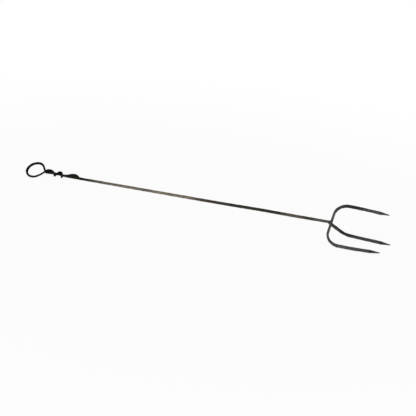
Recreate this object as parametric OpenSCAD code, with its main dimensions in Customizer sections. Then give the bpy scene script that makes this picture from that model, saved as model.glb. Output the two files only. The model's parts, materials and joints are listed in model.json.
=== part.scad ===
// Hand-forged three-pronged toasting fork with a hanging eye.
// Millimetres. The fork lies on a table as it rests: on the eye, on the near
// outer prong and on the middle prong, with the far outer prong in the air.
// X runs along the shank towards the prongs, Z is up.

/* [Shank] */
// Length from the crossing of the eye to the middle of the bow
shank_length = 607; // [350:1:900]
// Thickness of the square shank towards the prongs
shank_thickness = 4.5; // [3.4:0.1:6]
// Thickness of the shank where it leaves the eye
grip_thickness = 3.8; // [2.8:0.1:5]
// Distance from the eye over which most of the thickening happens
taper_reach = 200; // [100:10:400]
// How far the shank is pulled sideways under the wrapped tail
grip_wander = 1.3; // [0:0.1:3]
// How far the middle of the shank hangs below the straight line to the weld
shank_sag = 1; // [0:0.1:4]
// How far the shank is welded off the bow's crossing, towards the far prong
weld_offset = 2; // [0:0.1:3]
// Length of the thickened end at the weld
weld_length = 8.5; // [4:0.5:14]
// How much thinner the shank is just before the weld
weld_waist = 0.5; // [0:0.1:1]
// Width of the thickened end at the weld
weld_width = 9.5; // [6.6:0.1:12]

/* [Hanging eye] */
// Inside diameter of the eye
eye_bore = 32.6; // [20:0.2:50]
// Length of the pointed throat between the round of the eye and the crossing
eye_throat = 6.2; // [4:0.1:12]
// How far the middle of the eye lies to one side of the shank
eye_offset = 1.6; // [0:0.1:4]
// Width of the bar where it leaves the shank
eye_near_width = 3.9; // [3:0.1:5]
// Width of the bar at the far end of the eye
eye_far_width = 4.6; // [3:0.1:6]
// Thickness of the bar across the flat of the eye
eye_depth = 3.5; // [2.8:0.1:5]
// Radius of the bend between the shank and the eye
throat_bend = 5; // [3:0.5:6]

/* [Wrapped tail] */
// Width of the tail where it leaves the eye, and at the leaf's neck
tail_width = 2.8; // [2:0.1:3.4]
// Width of the tail where it is wound round the shank
wrap_width = 3.5; // [2.8:0.1:5]
// Height of the tail over the shank at its first turn
tail_depth = 3.7; // [2.4:0.1:5]
// Height of the tail over the shank at its second turn
tail_end_depth = 3.3; // [2.4:0.1:4.5]
// Length of the first turn along the shank
first_turn = 25; // [20:0.5:36]
// Length of the second turn along the shank
second_turn = 15; // [12:0.5:24]
// How much the turns swell on the upper side
tail_swell = 0.9; // [0:0.1:2]
// Gap between the tail and the shank
wrap_clearance = 0.12; // [0.1:0.01:0.3]

/* [Leaf] */
// Length of the flattened leaf that ends the tail
leaf_length = 33.5; // [20:0.5:60]
// Width of the leaf at its middle
leaf_width = 8.7; // [5:0.1:14]
// Thickness of the leaf at its middle
leaf_thickness = 1.7; // [1.2:0.1:2.4]
// Thickness of the neck between the tail and the leaf
neck_thickness = 2; // [1.4:0.1:3]

/* [Prong bow] */
// Distance between the outer prongs at their bends, middle to middle
prong_spacing = 92.6; // [70:0.1:140]
// How far the bow is welded off its middle, towards the near prong
bow_shift = 0.6; // [0:0.05:1.5]
// Radius of the bow's bends at the middle of the bar
bow_radius = 24.1; // [12:0.1:30]
// How much larger the bend to the near prong is
near_bend = 1.4; // [0:0.1:3]
// Thickness of the bow where it crosses the shank
bow_thickness = 3.9; // [3:0.1:5]
// Thickness of the prongs
prong_thickness = 4.7; // [3.6:0.1:6]
// Length of each outer prong from the end of its bend to its tip
prong_length = 74.2; // [45:0.1:140]
// Angle by which the outer prongs droop below the shank
prong_droop = 3.4; // [0:0.1:8]
// Angle by which the near outer prong leans inwards
near_toe = 3.5; // [0:0.1:5]
// Angle by which the far outer prong leans inwards
far_toe = 1.1; // [0:0.1:5]
// How far the near outer prong bows outwards at its middle
near_belly = 0.6; // [0:0.1:2]
// How far the far outer prong bows outwards at its middle
far_belly = 0.5; // [0:0.1:2]

/* [Middle prong] */
// How far below the middle of the bow the root starts
root_drop = 2.5; // [0:0.1:3]
// How far the root is welded off the bow's crossing, towards the near prong
root_offset = 1; // [0:0.1:3]
// Angle at which the root leaves the weld, below the shank
root_slope = 45.3; // [38:0.1:60]
// Length of the straight root
root_length = 24; // [12:0.1:30]
// Radius of the bend between root and prong
root_bend = 30.5; // [20:0.5:45]
// Length of the middle prong from the end of its bend to its tip
middle_length = 74.4; // [45:0.1:140]
// Angle by which the middle prong droops below the shank
middle_droop = 4.8; // [0:0.1:9]

/* [Points and edges] */
// Length of the four-sided point on each prong
point_length = 17.5; // [8:0.5:30]
// Width of the blunted end of each point
point_end = 0.9; // [0.6:0.1:1.6]
// Width of the bevel along each edge of the bars
edge_bevel = 0.45; // [0.2:0.05:0.6]

/* [Hidden] */

iron_dark = "#24231f";
iron_worn = "#565347";
iron_grey = "#3c3d38";

// Steps in each bend, in the round of the eye, in each turn of the tail and
// in the other curved lengths
bend_steps = 14;
eye_steps = 44;
turn_steps = 28;
leaf_steps = 22;
throat_steps = 6;

// The largest share of a thin bar that its bevel takes
bevel_share = 0.3;

up = [0, 0, 1];

// Small helpers for vectors, lists and smooth tables
function unit(v) = v / norm(v);
function last(list) = list[len(list) - 1];
function slice(list, from, to) = [for (i = [from:to]) list[i]];
function mix(a, b, t) = a * (1 - t) + b * t;
function ease(t) = t * t * (3 - 2 * t);
function row_of(table, x, i = 0) =
    i >= len(table) - 2 || x < table[i + 1][0] ? i : row_of(table, x, i + 1);
function slope_at(table, i) =
    let (a = max(i - 1, 0), b = min(i + 1, len(table) - 1))
    (table[b][1] - table[a][1]) / (table[b][0] - table[a][0]);
function hermite(a, slope_a, b, slope_b, t) =
    a * (1 + 2 * t) * (1 - t) * (1 - t) + slope_a * t * (1 - t) * (1 - t)
    + b * t * t * (3 - 2 * t) - slope_b * t * t * (1 - t);
function smooth(table, x) =
    let (i = row_of(table, x), span = table[i + 1][0] - table[i][0])
    hermite(table[i][1], slope_at(table, i) * span, table[i + 1][1],
        slope_at(table, i + 1) * span, (x - table[i][0]) / span);

// A bend that starts at p in direction d0 and ends in direction d1
function bend(p, d0, d1, radius, steps) =
    let (turn = acos(d0 * d1), side = unit(d1 - (d1 * d0) * d0))
    [for (i = [1:steps]) let (a = turn * i / steps)
        p + radius * (sin(a) * d0 + (1 - cos(a)) * side)];

// A bar's section: width and depth, with its edges bevelled
function section(wide, deep, cut_w, cut_d) =
    let (w = wide / 2, d = deep / 2)
    [[w, cut_d - d], [w, d - cut_d], [w - cut_w, d], [cut_w - w, d],
        [-w, d - cut_d], [-w, cut_d - d], [cut_w - w, -d], [w - cut_w, -d]];
function bevel_of(wide, deep) = min(edge_bevel, bevel_share * min(wide, deep));
function bevelled(wide, deep) = section(wide, deep, bevel_of(wide, deep), bevel_of(wide, deep));

// The corners of every section along a bar. Each stop is a place, the
// direction of the depth, and the section there
function direction_at(stops, i) =
    unit(stops[min(i + 1, len(stops) - 1)][0] - stops[max(i - 1, 0)][0]);
function frames(stops) =
    [for (i = [0:len(stops) - 1]) let (
        along = direction_at(stops, i),
        deep = unit(stops[i][1] - (stops[i][1] * along) * along),
        wide = cross(deep, along))
        [for (q = stops[i][2]) stops[i][0] + q[0] * wide + q[1] * deep]];
function all_of(rings) = [for (ring = rings, p = ring) p];

// A closed bar through its sections
module bar(rings) {
    n = len(rings[0]);
    sides = [for (i = [0:len(rings) - 2], k = [0:n - 1])
        let (a = i * n + k, b = i * n + (k + 1) % n)
        each [[a, a + n, b + n], [a, b + n, b]]];
    start = [for (k = [0:n - 1]) k];
    end = [for (k = [n - 1:-1:0]) (len(rings) - 1) * n + k];
    polyhedron(all_of(rings), concat([start, end], sides), convexity = 6);
}

// Where the shank's middle lies: pulled over under the tail, then hanging a
// little below the straight line that rises to its place on the bow
wander = [[0, 0], [8, 0.5], [19, 1], [31, 0.6], [45, -0.2], [62, -0.35], [127, -0.2], [250, 0],
    [380, 0], [465, 0.35], [550, -0.15], [607, -0.3]];
wander_end = last(wander)[0];
function shank_side(x) =
    weld_offset * max(x, 0) / shank_length
    - shank_sag * sin(180 * max(x, 0) / shank_length)
    + grip_wander * (x <= 0 || x >= wander_end ? 0 : smooth(wander, x));
// The shank thins towards the eye, and again just before the weld
waist = [shank_length - 60, shank_length - 10];
function waist_share(x) = ease(min(max((x - waist[0]) / (waist[1] - waist[0]), 0), 1));
function shank_size(x) =
    mix(shank_thickness, grip_thickness, exp(-max(x, 0) / taper_reach)) - weld_waist * waist_share(x);

// The eye: a round whose bore is true, closed by two straight arms
bore_radius = eye_bore / 2;
eye_middle = [-(bore_radius + eye_near_width / 2 + eye_throat), eye_offset, 0];
eye_away = norm(eye_middle);
eye_facing = -atan2(eye_offset, -eye_middle[0]);
bore_skin = 0.05;
eye_start = eye_facing + acos((bore_radius + eye_near_width / 2) / eye_away);
eye_stop = 360 + eye_facing - acos((bore_radius + tail_width / 2) / eye_away);
eye_widths = [[eye_start, eye_near_width], [110, eye_near_width + 0.1], [180, eye_far_width],
    [235, mix(eye_far_width, tail_width, 0.35)], [eye_stop, tail_width]];
function eye_round(a) =
    let (w = smooth(eye_widths, a), r = bore_radius + w / 2 - bore_skin / 2)
    [eye_middle + r * [cos(a), sin(a), 0], up, bevelled(w + bore_skin, eye_depth)];
function eye_heading(a) = [-sin(a), cos(a), 0];

arm_heading = eye_heading(eye_start);
shank_heading = [-1, 0, 0];
throat_reach = throat_bend * tan(acos(arm_heading * shank_heading) / 2);
shank_end = [throat_reach, 0, 0];

// The tail: it climbs over the shank and winds twice round it. Each row is
// the turn so far and the place along the shank, or the swelling there
turn_places = [[-0.12, -0.05], [0, 0.1], [0.16, 0.42], [0.4, 0.68], [0.65, 0.87], [0.9, 1.16],
    [1.15, 1.4]];
second_places = [[1.4, 0.1], [1.65, 0.25], [1.88, 0.62], [1.98, 0.93]];
tail_places = concat(
    [for (r = turn_places) [r[0], r[1] * first_turn]],
    [for (r = second_places) [r[0], last(turn_places)[1] * first_turn + r[1] * second_turn]]);
swells = [[-0.12, 0], [0, 0.4], [0.13, 1.2], [0.27, 0.1], [0.4, 0], [0.65, 0.1], [0.9, 0.1],
    [1.05, 0.9], [1.14, 1], [1.28, 0.1], [1.4, 0], [1.98, 0]];
tail_from = tail_places[0][0];
tail_turns = last(tail_places)[0];
wrapped_size = shank_size(last(tail_places)[1]);
wrap_inside = norm([wrapped_size / 2, wrapped_size / 2 - edge_bevel]) + wrap_clearance;
neck_from = second_places[1][0];
widened = 0.25;
function tail_height(t) =
    t < neck_from ? mix(tail_depth, tail_end_depth, max(t, 0) / neck_from)
        : mix(tail_end_depth, neck_thickness, ease((t - neck_from) / (tail_turns - neck_from)));
function neck_share(t) = t < neck_from ? 0 : ease((t - neck_from) / (tail_turns - neck_from));
function tail_wide(t) = mix(tail_width, wrap_width,
    ease(min((t - tail_from) / widened, 1)) * (1 - neck_share(t)));
function around(t) = let (a = 90 - 360 * t) [0, cos(a), sin(a)];

// The tail's inner side lies close on each flat of the shank and clears its
// corners, and its outer side follows the swelling
function hug(t) =
    let (straight = max(abs(around(t)[1]), abs(around(t)[2])),
        aslant = sqrt(max(1 - straight * straight, 0)),
        flat = (wrapped_size / 2 + wrap_width / 2 * aslant) / straight + wrap_clearance)
    min(flat, wrap_inside);
function tail_stop(t) =
    let (x = smooth(tail_places, t),
        outer = wrap_inside + tail_height(t) + tail_swell * max(smooth(swells, t), 0),
        inner = mix(hug(t), wrap_inside, neck_share(t)),
        height = outer - inner)
    [[x, shank_side(x), 0] + (outer + inner) / 2 * around(t), around(t),
        bevelled(tail_wide(t), height), height];

// The arm of the eye that climbs over the shank to become the tail
arm_steps = 9;
arm_from = eye_round(eye_stop)[0];
arm_to = tail_stop(tail_from)[0];
tail_heading = unit(tail_stop(tail_from + 0.01)[0] - arm_to);
arm_span = norm(arm_to - arm_from);
function arm_stop(t) =
    [hermite(arm_from, eye_heading(eye_stop) * arm_span, arm_to, tail_heading * arm_span, t),
        mix(up, around(tail_from), ease(t)),
        bevelled(tail_width, mix(eye_depth, tail_stop(tail_from)[3], t))];

// The leaf: it lies on the shank's upper face and hangs over its far edge.
// It is hammered out flat from neck to settled, and is widest past its middle
neck_place = tail_stop(tail_turns)[0];
settled = 0.3;
leaf_edge = 0.5;
leaf_slant = 0.28;
leaf_lean = 1.16;
function leaf_wide(t) = tail_width * (1 - t)
    + (leaf_width - tail_width / 2) * sin(180 * pow(t, leaf_lean)) + point_end * t;
function leaf_deep(t) = t < settled ? mix(neck_thickness, leaf_thickness, ease(t / settled))
    : mix(leaf_thickness, leaf_thickness / 2, ease((t - settled) / (1 - settled)));
function leaf_stop(t) =
    let (x = neck_place[0] + leaf_length * t, w = leaf_wide(t), d = leaf_deep(t),
        beat = ease(min(t / settled, 1)), half = shank_size(x) / 2,
        y = mix(neck_place[1], shank_side(x) - half + w / 2, beat),
        z = mix(neck_place[2], half + wrap_clearance + d / 2, beat),
        cut = bevel_of(w, d))
    [[x, y, z], up, section(w, d, mix(cut, leaf_slant * w, beat), mix(cut, (d - leaf_edge) / 2, beat))];

// The handle bar from the weld to the end of the leaf, as one run of stops.
// The end at the weld swells to the near side and a little upwards
bow_face = shank_length - bow_thickness / 2;
shank_places = [for (f = [0.85, 0.7, 0.55, 0.4]) f * (shank_length - weld_length)];
grip_places = [200, 160, 127, 110, 90, 76, 62, 54, 45, 38, 31, 25, 19, 14, 11, 8, 5.5];
weld_swell = weld_width - shank_size(shank_length);
weld_lean = 0.38;
weld_rise = 0.4;
weld_face = 0.3;
function weld_stop(x, t) =
    let (grow = (1 - t) * (1 - t),
        size = bevelled(shank_size(x) + weld_swell * grow, shank_size(x) + weld_rise * grow))
    [[x, shank_side(x), 0], up, [for (q = size) q + [weld_lean * weld_swell * grow, 0]]];
weld_stops = concat(
    [let (end = weld_stop(bow_face - weld_face, 0)) [end[0] + [weld_face, 0, 0], up, end[2]]],
    [for (t = [0:0.25:1]) weld_stop(mix(bow_face - weld_face, shank_length - weld_length, t), t)]);
straight_stops = [for (x = concat(shank_places, grip_places))
    [[x, shank_side(x), 0], up, bevelled(shank_size(x), shank_size(x))]];
shank_stops = concat(weld_stops, straight_stops,
    [[shank_end, up, bevelled((grip_thickness + eye_near_width) / 2, (grip_thickness + eye_depth) / 2)]]);
throat_stops = [for (p = bend(shank_end, shank_heading, arm_heading, throat_bend, throat_steps))
    [p, up, bevelled(eye_near_width, eye_depth)]];
eye_stops = concat(throat_stops,
    [for (i = [0:eye_steps]) eye_round(mix(eye_start, eye_stop, i / eye_steps))],
    [for (i = [1:arm_steps - 1]) arm_stop(i / arm_steps)]);
tail_steps = round((tail_turns - tail_from) * turn_steps);
tail_stops = [for (i = [0:tail_steps]) tail_stop(mix(tail_from, tail_turns, i / tail_steps))];
leaf_stops = [for (i = [1:leaf_steps]) leaf_stop(i / leaf_steps)];

handle_rings = frames(concat(shank_stops, eye_stops, tail_stops, leaf_stops));
shank_last = len(shank_stops) - 1;
eye_last = shank_last + len(eye_stops) + 1;
tail_last = eye_last + tail_steps;
shank_rings = slice(handle_rings, 0, shank_last);
eye_rings = slice(handle_rings, shank_last, eye_last);
tail_rings = slice(handle_rings, eye_last, tail_last);
leaf_rings = slice(handle_rings, tail_last, len(handle_rings) - 1);

// The bow and its two prongs, from the middle out to one point. The bar grows
// from the weld to the prongs, sooner on the far side. A point bulges a
// little: half way along, point_belly of its taper is done
point_belly = 0.46;
prong_section = bevelled(prong_thickness, prong_thickness);
prong_body = prong_length - point_length;
function bend_radius(side) = side < 0 ? bow_radius + near_bend : bow_radius;
function arm_length(side) = prong_spacing / 2 - bend_radius(side);
function arm_growth(side) = side < 0 ? 0.1 : 0.4;
function bow_size(side, t) = mix(bow_thickness, prong_thickness, mix(arm_growth(side), 1, ease(t)));
function toe(side) = side < 0 ? near_toe : far_toe;
function prong_heading(side) =
    [cos(prong_droop) * cos(toe(side)), -side * cos(prong_droop) * sin(toe(side)), -sin(prong_droop)];
function point_stops(from, heading, thick) =
    let (belly = mix(thick, point_end, point_belly))
    [[from, up, bevelled(thick, thick)],
        [from + heading * point_length / 2, up, bevelled(belly, belly)],
        [from + heading * point_length, up, bevelled(point_end, point_end)]];
function half_bow(side) =
    let (out = [0, side, 0], heading = prong_heading(side),
        corner = [shank_length, side * arm_length(side) - bow_shift, 0],
        round = bend(corner, out, heading, bend_radius(side), bend_steps),
        from = last(round), belly = side < 0 ? near_belly : far_belly)
    concat(
        [let (s = bow_size(side, 0)) [corner, up, bevelled(s, s)]],
        [for (i = [1:bend_steps]) let (s = bow_size(side, i / bend_steps))
            [round[i - 1], up, bevelled(s, s)]],
        [for (f = [0.2:0.2:0.8])
            [from + heading * prong_body * f + out * belly * sin(180 * f), up, prong_section]],
        point_stops(from + heading * prong_body, heading, prong_thickness));
function reversed(list) = [for (i = [len(list) - 1:-1:0]) list[i]];
near_half = half_bow(-1);
crossing = [[shank_length, -bow_shift, 0], up, bevelled(bow_thickness, bow_thickness)];
bow_rings = frames(concat(reversed(near_half), [crossing], half_bow(1)));
near_count = len(near_half);
arm_rings = slice(bow_rings, near_count - 1, near_count + 1);

// The middle prong: a sloping root, a bend and the prong itself
root_heading = [cos(root_slope), 0, -sin(root_slope)];
middle_heading = [cos(middle_droop), 0, -sin(middle_droop)];
root_from = [shank_length, -root_offset, -root_drop];
root_to = root_from + root_heading * root_length;
middle_round = bend(root_to, root_heading, middle_heading, root_bend, bend_steps);
middle_rings = frames(concat(
    [[root_from, up, prong_section], [root_to, up, prong_section]],
    [for (p = middle_round) [p, up, prong_section]],
    point_stops(last(middle_round) + middle_heading * (middle_length - point_length),
        middle_heading, prong_thickness)));

// How the fork lies: the plane under its three feet is level
function foot(points, n, i = 1, low = 0) =
    i == len(points) ? points[low]
        : foot(points, n, i + 1, points[i] * n < points[low] * n ? i : low);
near_points = all_of(slice(bow_rings, 0, near_count - 1));
middle_points = all_of(middle_rings);
eye_points = all_of(eye_rings);
function level(n, tries) =
    tries == 0 ? n
        : let (a = foot(eye_points, n), b = foot(near_points, n), c = foot(middle_points, n))
            level(unit(cross(b - a, c - a)), tries - 1);
rest_up = level(unit([0, 0.56, 0.83]), 12);
roll = atan2(rest_up[1], rest_up[2]);
pitch = -atan2(rest_up[0], norm([rest_up[1], rest_up[2]]));
function rolled(p) = [p[0], p[1] * cos(roll) - p[2] * sin(roll), p[1] * sin(roll) + p[2] * cos(roll)];
function pitched(p) = [p[0] * cos(pitch) + p[2] * sin(pitch), p[1], p[2] * cos(pitch) - p[0] * sin(pitch)];
laid_points = [for (p = concat(all_of(handle_rings), all_of(bow_rings), middle_points)) pitched(rolled(p))];
laid_x = [for (p = laid_points) p[0]];
laid_y = [for (p = laid_points) p[1]];
laid_z = [for (p = laid_points) p[2]];
shift = -[(min(laid_x) + max(laid_x)) / 2, (min(laid_y) + max(laid_y)) / 2, min(laid_z)];

module laid() {
    translate(shift)
        rotate([roll, pitch, 0])
            children();
}

module shank() {
    color(iron_worn)
        laid()
            bar(shank_rings);
}

// The bore of the eye is cut true, as if trued on the anvil's horn
module hanging_eye() {
    color(iron_dark)
        laid()
            difference() {
                bar(eye_rings);
                translate(eye_middle)
                    cylinder(h = 4 * eye_depth, r = bore_radius, center = true, $fn = 96);
            }
}

module wrapped_tail() {
    color(iron_dark)
        laid()
            bar(tail_rings);
}

module leaf_end() {
    color(iron_dark)
        laid()
            bar(leaf_rings);
}

module prong_bow() {
    color(iron_grey)
        laid()
            bar(bow_rings);
}

// The root is notched to sit on the bow's lower corner
module middle_prong() {
    color(iron_grey)
        laid()
            difference() {
                bar(middle_rings);
                bar(arm_rings);
            }
}

shank();
hanging_eye();
wrapped_tail();
leaf_end();
prong_bow();
middle_prong();
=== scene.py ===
"""A hand-forged toasting fork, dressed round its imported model.

The file is laid out as a Blender add-on and is run as a script. Lengths are in
metres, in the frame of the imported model: X along the shank towards the prongs,
Z up from the table. The forged bars are first laid out in the fork's own frame,
with the eye's crossing at the origin and the shank straight along X, and are
then laid down as the fork rests.
"""

import json
import math

import bmesh
import bpy
from bpy.props import FloatProperty, FloatVectorProperty, IntProperty, PointerProperty
from mathutils import Euler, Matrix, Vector


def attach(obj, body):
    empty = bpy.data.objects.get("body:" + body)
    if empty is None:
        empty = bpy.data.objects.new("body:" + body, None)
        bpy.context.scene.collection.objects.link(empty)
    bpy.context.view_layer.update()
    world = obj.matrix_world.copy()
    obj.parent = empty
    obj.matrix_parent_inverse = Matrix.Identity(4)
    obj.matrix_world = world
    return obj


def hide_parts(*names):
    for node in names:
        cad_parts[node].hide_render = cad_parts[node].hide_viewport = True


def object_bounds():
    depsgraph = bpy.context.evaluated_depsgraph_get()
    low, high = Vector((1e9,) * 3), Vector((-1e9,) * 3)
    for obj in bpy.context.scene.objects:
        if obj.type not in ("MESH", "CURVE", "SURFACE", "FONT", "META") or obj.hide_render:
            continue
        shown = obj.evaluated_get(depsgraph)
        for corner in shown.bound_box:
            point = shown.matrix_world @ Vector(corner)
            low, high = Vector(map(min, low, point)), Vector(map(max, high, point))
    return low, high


bl_info = {
    "name": "Toasting Fork",
    "version": (1, 0, 0),
    "blender": (4, 5, 0),
    "location": "3D View > Sidebar > Toasting Fork",
    "description": "Forges a toasting fork bar by bar and sets it on a pale table",
    "category": "Object",
}

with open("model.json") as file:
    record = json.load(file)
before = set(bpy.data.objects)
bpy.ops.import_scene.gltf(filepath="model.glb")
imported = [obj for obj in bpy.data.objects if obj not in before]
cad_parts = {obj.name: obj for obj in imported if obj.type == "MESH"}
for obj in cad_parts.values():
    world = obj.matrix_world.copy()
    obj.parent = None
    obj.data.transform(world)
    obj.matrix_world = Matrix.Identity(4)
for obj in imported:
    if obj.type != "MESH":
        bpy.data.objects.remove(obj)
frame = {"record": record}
CAD_BOX = [list(corner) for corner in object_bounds()]
BODY = "root"

MM = 0.001
UP = Vector((0, 0, 1))


def length(name, description, default_mm, **more):
    """A length property. The default is written in millimetres."""
    return FloatProperty(
        name=name, description=description, default=default_mm * MM, precision=5,
        unit="LENGTH", subtype="DISTANCE", **more)


def angle(name, description, default_degrees):
    """An angle property. The default is written in degrees."""
    return FloatProperty(
        name=name, description=description, default=math.radians(default_degrees), subtype="ANGLE")


def colour(name, description, default):
    """A linear colour property."""
    return FloatVectorProperty(
        name=name, description=description, default=default, size=3, min=0, max=1, subtype="COLOR")


class ShankSizes(bpy.types.PropertyGroup):
    """The square shank"""

    length: length("Length", "From the crossing of the eye to the middle of the bow", 607)
    thickness: length("Thickness", "Side of the square towards the prongs", 4.5)
    grip_thickness: length("Grip thickness", "Side of the square where it leaves the eye", 3.8)
    taper_reach: length("Taper reach", "Distance over which most of the thickening happens", 200)
    wander: length("Wander", "How far the shank is pulled sideways under the tail", 1.3)
    sag: length("Sag", "How far the middle hangs below the straight line to the weld", 1)
    weld_offset: length("Weld offset", "How far it is welded off the bow's crossing", 2)
    weld_length: length("Weld length", "Length of the swollen end at the weld", 8.5)
    weld_waist: length("Weld waist", "How much thinner the shank is just before the weld", 0.5)
    weld_width: length("Weld width", "Width of the swollen end at the weld", 9.5)


class EyeSizes(bpy.types.PropertyGroup):
    """The hanging eye"""

    bore: length("Bore", "Inside diameter of the eye", 32.6)
    throat: length("Throat", "From the round of the eye to the crossing", 6.2)
    offset: length("Offset", "How far the eye lies to one side of the shank", 1.6)
    near_width: length("Near width", "Width of the bar where it leaves the shank", 3.9)
    far_width: length("Far width", "Width of the bar at the far end of the eye", 4.6)
    depth: length("Depth", "Thickness of the bar across the flat of the eye", 3.5)
    throat_bend: length("Throat bend", "Radius of the bend between shank and eye", 5)


class TailSizes(bpy.types.PropertyGroup):
    """The tail that is wound round the shank"""

    width: length("Width", "Width where it leaves the eye, and at the leaf's neck", 2.8)
    wrap_width: length("Wrap width", "Width where it is wound round the shank", 3.5)
    depth: length("Depth", "Height over the shank at the first turn", 3.7)
    end_depth: length("End depth", "Height over the shank at the second turn", 3.3)
    first_turn: length("First turn", "Length of the first turn along the shank", 25)
    second_turn: length("Second turn", "Length of the second turn along the shank", 15)
    swell: length("Swell", "How much the turns swell on the upper side", 0.9)
    clearance: length("Clearance", "Gap between the tail and the shank", 0.12)
    neck: length("Neck", "Thickness of the neck before the leaf", 2)


class LeafSizes(bpy.types.PropertyGroup):
    """The flattened leaf that ends the tail"""

    length: length("Length", "Length of the leaf", 33.5)
    width: length("Width", "Width at its widest", 8.7)
    thickness: length("Thickness", "Thickness at its middle", 1.7)
    edge: length("Edge", "Thickness left along its rim", 0.5)


class ProngSizes(bpy.types.PropertyGroup):
    """The bow with its two prongs, and the middle prong"""

    spacing: length("Spacing", "Between the outer prongs at their bends", 92.6)
    bow_shift: length("Bow shift", "How far the bow is welded off its middle", 0.6)
    bow_radius: length("Bow radius", "Radius of the bow's bends", 24.1)
    near_bend: length("Near bend", "How much larger the bend to the near prong is", 1.4)
    bow_thickness: length("Bow thickness", "Side of the square at the weld", 3.9)
    thickness: length("Prong thickness", "Side of the square along the prongs", 4.7)
    length: length("Prong length", "From the end of the bend to the tip", 74.2)
    droop: angle("Droop", "Angle of the outer prongs below the shank", 3.4)
    near_toe: angle("Near toe", "Angle by which the near prong leans inwards", 3.5)
    far_toe: angle("Far toe", "Angle by which the far prong leans inwards", 1.1)
    near_belly: length("Near belly", "How far the near prong bows outwards", 0.6)
    far_belly: length("Far belly", "How far the far prong bows outwards", 0.5)
    root_drop: length("Root drop", "How far below the bow's middle the root starts", 2.5)
    root_offset: length("Root offset", "How far the root is welded off the crossing", 1)
    root_slope: angle("Root slope", "Angle of the middle prong's root below the shank", 45.3)
    root_length: length("Root length", "Length of the straight root", 24)
    root_bend: length("Root bend", "Radius between the root and the middle prong", 30.5)
    middle_length: length("Middle length", "From the end of its bend to its tip", 74.4)
    middle_droop: angle("Middle droop", "Angle of the middle prong below the shank", 4.8)
    point_length: length("Point length", "Length of each four-sided point", 17.5)
    point_end: length("Point end", "Width of the blunted end of each point", 1.3)


class ForgeSizes(bpy.types.PropertyGroup):
    """What the hammer leaves on every bar"""

    edge: length("Edge", "Radius of the worn edges", 0.6)
    edge_wear: FloatProperty(
        name="Edge wear", description="How much the edges differ in wear", default=0.45, min=0, max=1,
        subtype="FACTOR")
    wear_length: length("Wear length", "Distance over which an edge's wear changes", 9)
    ring_gap: length("Ring spacing", "Distance between the rings of the mesh", 0.55)
    dent_depth: length("Dent depth", "Depth of the hammer's dents", 0.3)
    dent_length: length("Dent length", "Length of the hammer's dents", 8)
    draw_depth: length("Drawing depth", "How much the bars vary where they were drawn out", 0.2)
    draw_length: length("Drawing length", "Distance over which the bars vary", 30)
    flat_steps: IntProperty(name="Flat steps", description="Points across each flat face", default=4, min=1)
    corner_steps: IntProperty(name="Corner steps", description="Points round each edge", default=4, min=2)
    seed: IntProperty(name="Seed", description="Seed of the dents", default=7)
    weld_arm: length("Weld arm", "How far the fire weld runs out along each bar", 11)
    weld_swell: length("Weld swell", "How far the fire weld stands proud of the bars", 0.35)
    weld_fillet: length("Weld fillet", "How much the fire weld fills the corners", 1.3)
    weld_grain: length("Weld grain", "Size of the fire weld's mesh", 0.35)


class Finishes(bpy.types.PropertyGroup):
    """The colours of the iron"""

    soot: colour("Soot", "Black grease and scale on the eye and the tail", (0.0018, 0.0016, 0.0015))
    leaf: colour("Leaf", "Dark olive scale on the leaf", (0.012, 0.0117, 0.006))
    scale: colour("Scale", "Dark fire scale on the shank", (0.016, 0.0135, 0.010))
    rubbed: colour("Rubbed", "Iron rubbed brown-grey by hands", (0.188, 0.162, 0.122))
    greasy: colour("Greasy", "Olive grease on the iron beyond the leaf", (0.1, 0.098, 0.042))
    olive: colour("Olive", "Rubbed iron with a trace of grease", (0.178, 0.165, 0.122))
    brown: colour("Brown", "Rubbed iron with a trace of rust", (0.192, 0.153, 0.109))
    neck: colour("Neck", "Greyer iron towards the weld", (0.15, 0.148, 0.13))
    prong: colour("Prong", "Dark grey of the prongs", (0.0135, 0.0148, 0.0144))
    prong_bare: colour("Bare prong", "Bare grey worn through on the prongs", (0.115, 0.116, 0.108))
    rust: colour("Rust", "Dry brown rust in the hollows", (0.085, 0.048, 0.026))


class StageSizes(bpy.types.PropertyGroup):
    """The camera, the lamps and the table"""

    camera_at: FloatVectorProperty(
        name="Camera", description="Place of the camera", size=3, precision=5,
        default=(0.60744, -1.56707, 0.66146), subtype="TRANSLATION", unit="LENGTH")
    camera_turn: FloatVectorProperty(
        name="Camera turn", description="Turn of the camera", size=3, subtype="EULER",
        default=tuple(math.radians(a) for a in (68.5834, -3.8099, 21.8414)))
    lens: FloatProperty(name="Lens", description="Focal length", default=80, unit="CAMERA")
    table: colour("Table", "Colour of the table", (0.8, 0.8, 0.8))
    sky: FloatProperty(name="Sky", description="Strength of the light all round", default=0.38, min=0)
    key_power: FloatProperty(name="Key", description="Power of the lamp in front", default=84, min=0, unit="POWER")
    fill_power: FloatProperty(name="Fill", description="Power of the lamp behind", default=16, min=0, unit="POWER")


class ForkSettings(bpy.types.PropertyGroup):
    """Everything that a user would change"""

    shank: PointerProperty(type=ShankSizes)
    eye: PointerProperty(type=EyeSizes)
    tail: PointerProperty(type=TailSizes)
    leaf: PointerProperty(type=LeafSizes)
    prongs: PointerProperty(type=ProngSizes)
    forge: PointerProperty(type=ForgeSizes)
    finish: PointerProperty(type=Finishes)
    stage: PointerProperty(type=StageSizes)


# Smooth tables and bends

def mix(a, b, t):
    return a * (1 - t) + b * t


def ease(t):
    t = min(max(t, 0), 1)
    return t * t * (3 - 2 * t)


def hermite(a, slope_a, b, slope_b, t):
    """From a to b, leaving and arriving with the given slopes."""
    return (a * (1 + 2 * t) * (1 - t) ** 2 + slope_a * t * (1 - t) ** 2
            + b * t * t * (3 - 2 * t) - slope_b * t * t * (1 - t))


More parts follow.
